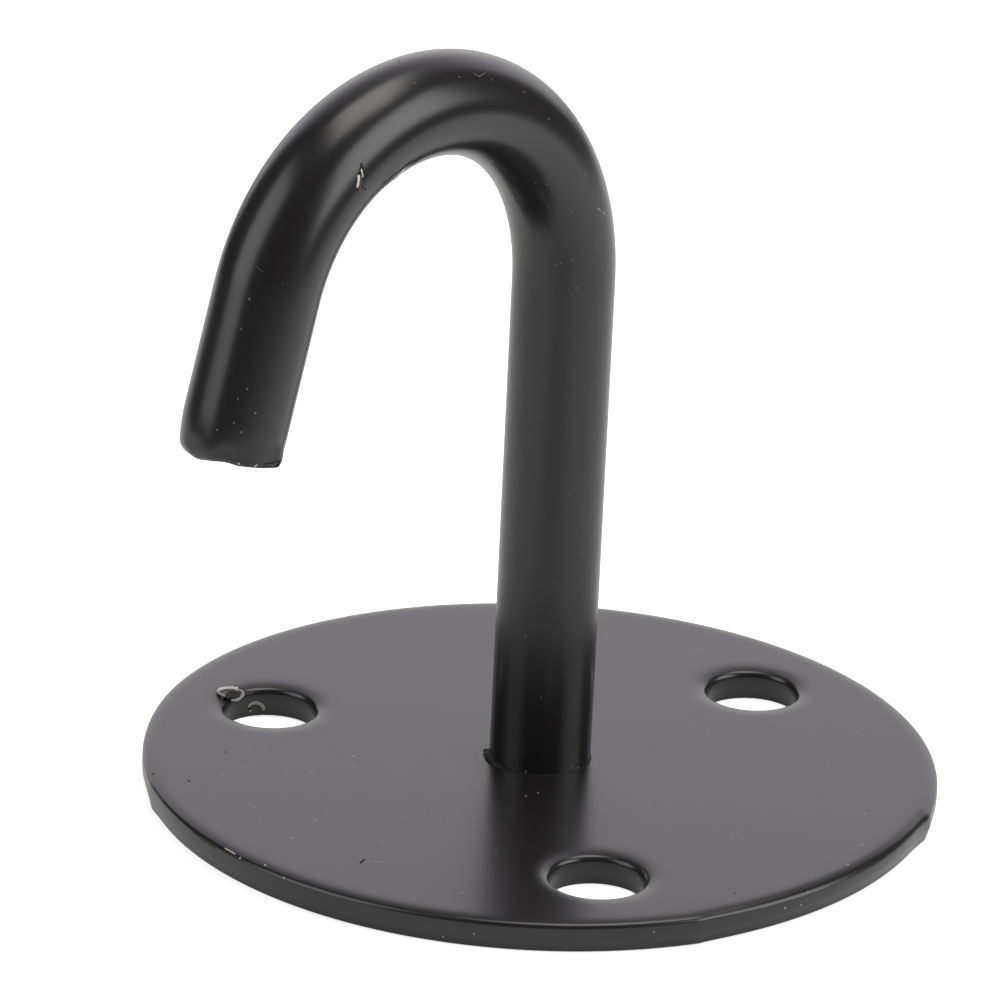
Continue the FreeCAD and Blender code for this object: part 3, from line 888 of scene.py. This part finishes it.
def backgroundGlow(tree, seen, mirrored, tint=None):
    # what the background adds to its own brightness: one share for camera rays, and one,
    # which varies over it and can have its own tint, for glossy and transmission rays
    path = addNode(tree, "ShaderNodeLightPath")
    either = addNode(tree, "ShaderNodeMath", {"operation": "MAXIMUM"},
                     {0: path.outputs["Is Glossy Ray"], 1: path.outputs["Is Transmission Ray"]})
    soft = addNode(tree, "ShaderNodeMath", {"operation": "MULTIPLY"},
                   {0: either.outputs[0], 1: mirrored})
    glow = addNode(tree, "ShaderNodeMath", {"operation": "MULTIPLY_ADD", 1: seen},
                   {0: path.outputs["Is Camera Ray"], 2: soft.outputs[0]})
    light = addNode(tree, "ShaderNodeEmission", None, {"Strength": glow.outputs[0]})
    if tint:
        colour = addNode(tree, "ShaderNodeMix", {"data_type": "RGBA", 7: linear("#ffffff")},
                         {0: path.outputs["Is Camera Ray"], 6: tint})
        tree.links.new(colour.outputs[2], light.inputs["Color"])
    return light, path


def makeFloor():
    # a white board under the object, that runs back to the wall. A painted shade darkens
    # a patch of its colour in front, which only the object's mirroring shows.
    material, tree = newMaterial("matt_white_board")
    place = addNode(tree, "ShaderNodeTexCoord")
    across = addNode(tree, "ShaderNodeVectorMath",
                     {"operation": "DOT_PRODUCT", 1: studioDirection(90, 0)},
                     {0: place.outputs["Object"]})
    mirrored = addNode(tree, "ShaderNodeMapRange",
                       {"From Min": 0.0, "From Max": studio["boardRight"],
                        "To Min": studio["leftGlow"], "To Max": studio["rightGlow"]},
                       {"Value": across.outputs["Value"]})
    glow, path = backgroundGlow(tree, studio["seenGlow"], mirrored.outputs[0])
    # painted shade: the board's colour falls towards black round a patch in front, except for camera
    # rays
    front = studioDirection(0, 0) * studio["shadePlace"]
    fromFront = addNode(tree, "ShaderNodeVectorMath", {"operation": "DISTANCE", 1: front},
                        {0: place.outputs["Object"]})
    shade = addNode(tree, "ShaderNodeMapRange",
                    {"From Min": studio["shadeStart"], "From Max": studio["shadeEnd"],
                     "To Min": studio["frontShade"], "To Max": 1.0,
                     "interpolation_type": "SMOOTHSTEP"}, {"Value": fromFront.outputs["Value"]})
    share = addNode(tree, "ShaderNodeMath", {"operation": "MAXIMUM"},
                    {0: shade.outputs[0], 1: path.outputs["Is Camera Ray"]})
    colour = addNode(tree, "ShaderNodeMix",
                     {"data_type": "RGBA", 6: linear("#000000"), 7: linear(studio["boardColour"])},
                     {0: share.outputs[0]})
    matt = addNode(tree, "ShaderNodeBsdfDiffuse", None, {"Color": colour.outputs[2]})
    both = addNode(tree, "ShaderNodeAddShader", None, {0: matt.outputs[0], 1: glow.outputs[0]})
    # from below the board is clear, so that the disc's back can be looked at
    side = addNode(tree, "ShaderNodeNewGeometry")
    clear = addNode(tree, "ShaderNodeBsdfTransparent")
    board = addNode(tree, "ShaderNodeMixShader", None,
                    {0: side.outputs["Backfacing"], 1: both.outputs[0], 2: clear.outputs[0]})
    addNode(tree, "ShaderNodeOutputMaterial", None, {"Surface": board.outputs[0]})
    deselectAll()
    bpy.ops.mesh.primitive_plane_add(size=1)
    floor = bpy.context.object
    floor.name = "studio_floor"
    bpy.ops.object.mode_set(mode="EDIT")
    bpy.ops.mesh.select_all(action="SELECT")
    width = studio["boardLeft"] + studio["boardRight"]
    length = studio["boardFront"] + studio["wallRadius"]
    bpy.ops.transform.resize(value=(width, length, 1))
    bpy.ops.object.mode_set(mode="OBJECT")
    floor.rotation_euler.z = math.radians(view["azimuth"])
    floor.location = studioDirection(90, 0) * (studio["boardRight"] - width / 2)
    floor.location -= studioDirection(0, 0) * (length / 2 - studio["boardFront"])
    floor.location.z = -studio["boardDrop"]
    bpy.ops.object.transform_apply(location=True, rotation=True, scale=True)
    floor.data.materials.append(material)


def makeWall():
    # a white wall behind the object, as far round and as high as the coat mirrors it, and
    # less lit towards its top
    material, tree = newMaterial("white_paper_wall")
    height = studio["wallRadius"] * math.tan(math.radians(studio["wallTop"]))
    place = addNode(tree, "ShaderNodeTexCoord")
    upright = addNode(tree, "ShaderNodeSeparateXYZ", None, {0: place.outputs["Object"]})
    mirrored = addNode(tree, "ShaderNodeMapRange",
                       {"From Min": height * studio["fadeStart"],
                        "From Max": height * studio["fadeEnd"],
                        "To Min": studio["wallMirrored"], "To Max": studio["wallTopGlow"]},
                       {"Value": upright.outputs["Z"]})
    aboveFoot = addNode(tree, "ShaderNodeMapRange",
                        {"From Min": height * studio["footStart"],
                         "From Max": height * studio["footEnd"]},
                        {"Value": upright.outputs["Z"]})
    share = addNode(tree, "ShaderNodeMapRange", {"To Min": studio["footGlow"], "To Max": 1.0},
                    {"Value": aboveFoot.outputs[0]})
    strength = addNode(tree, "ShaderNodeMath", {"operation": "MULTIPLY"},
                       {0: mirrored.outputs[0], 1: share.outputs[0]})
    tint = addNode(tree, "ShaderNodeMix",
                   {"data_type": "RGBA", 6: linear("#ffffff"), 7: linear(studio["wallTint"])},
                   {0: aboveFoot.outputs[0]})
    glow, _ = backgroundGlow(tree, studio["wallGlow"], strength.outputs[0], tint.outputs[2])
    matt = addNode(tree, "ShaderNodeBsdfDiffuse", {"Color": linear(studio["wallColour"])})
    both = addNode(tree, "ShaderNodeAddShader", None, {0: matt.outputs[0], 1: glow.outputs[0]})
    addNode(tree, "ShaderNodeOutputMaterial", None, {"Surface": both.outputs[0]})
    deselectAll()
    start = studioDirection(180 + studio["wallHalf"], 0) * studio["wallRadius"]
    bpy.ops.mesh.primitive_plane_add(size=0.01, location=start)
    wall = bpy.context.object
    wall.name = "studio_wall"
    bpy.ops.object.mode_set(mode="EDIT")
    bpy.ops.mesh.select_mode(type="VERT")
    bpy.ops.mesh.select_all(action="SELECT")
    bpy.ops.mesh.merge(type="CENTER")
    bpy.ops.mesh.extrude_vertices_move(TRANSFORM_OT_translate={"value": (0, 0, height)})
    bpy.ops.mesh.select_all(action="SELECT")
    bpy.ops.mesh.spin(steps=studio["wallSteps"], angle=math.radians(2 * studio["wallHalf"]),
                      center=(0, 0, 0), axis=(0, 0, 1))
    bpy.ops.object.mode_set(mode="OBJECT")
    bpy.ops.object.transform_apply(location=True)
    wall.data.materials.append(material)


makeFloor()
makeWall()


# Lights: softboxes left, right and overhead. Radiance 1 is white.

softboxes = {
    "left": {"azimuth": -67, "elevation": 31, "wide": 38, "tall": 52, "radiance": 2.4,
             "colour": "#ffffff"},
    "right": {"azimuth": 74, "elevation": 25, "wide": 43, "tall": 38, "radiance": 4.0,
              "colour": "#ffffff"},
    "overhead": {"azimuth": 128, "elevation": 78, "wide": 36, "tall": 34, "radiance": 4.15,
                 "colour": "#fffefa"},
}
lampDistance = 1.6
lampAim = (-0.015, 0, 0.035)  # about the hook's middle


def makeSoftboxes():
    for name, box in softboxes.items():
        bpy.ops.object.light_add(type="AREA")
        lamp = bpy.context.object
        lamp.name = name + "_softbox"
        toward = studioDirection(box["azimuth"], box["elevation"])
        lamp.location = Vector(lampAim) + toward * lampDistance
        lamp.rotation_mode = "QUATERNION"
        lamp.rotation_quaternion = toward.to_track_quat("Z", "Y")
        lamp.data.shape = "RECTANGLE"
        lamp.data.size = 2 * lampDistance * math.tan(math.radians(box["wide"] / 2))
        lamp.data.size_y = 2 * lampDistance * math.tan(math.radians(box["tall"] / 2))
        lamp.data.energy = box["radiance"] * math.pi * lamp.data.size * lamp.data.size_y
        lamp.data.color = linear(box["colour"])[:3]
        lamp.visible_camera = False


def makeWorld():
    world = bpy.data.worlds.new("studio")
    bpy.context.scene.world = world
    world.use_nodes = True
    tree = world.node_tree
    tree.nodes.clear()
    path = addNode(tree, "ShaderNodeLightPath")
    shade = addNode(tree, "ShaderNodeMapRange", {"To Min": studio["roomGlow"], "To Max": 1.0},
                    {"Value": path.outputs["Is Camera Ray"]})
    light = addNode(tree, "ShaderNodeBackground", None, {"Strength": shade.outputs[0]})
    addNode(tree, "ShaderNodeOutputWorld", None, {"Surface": light.outputs[0]})


makeSoftboxes()
makeWorld()
bpy.context.scene.view_settings.view_transform = "Standard"
print("studio lit")
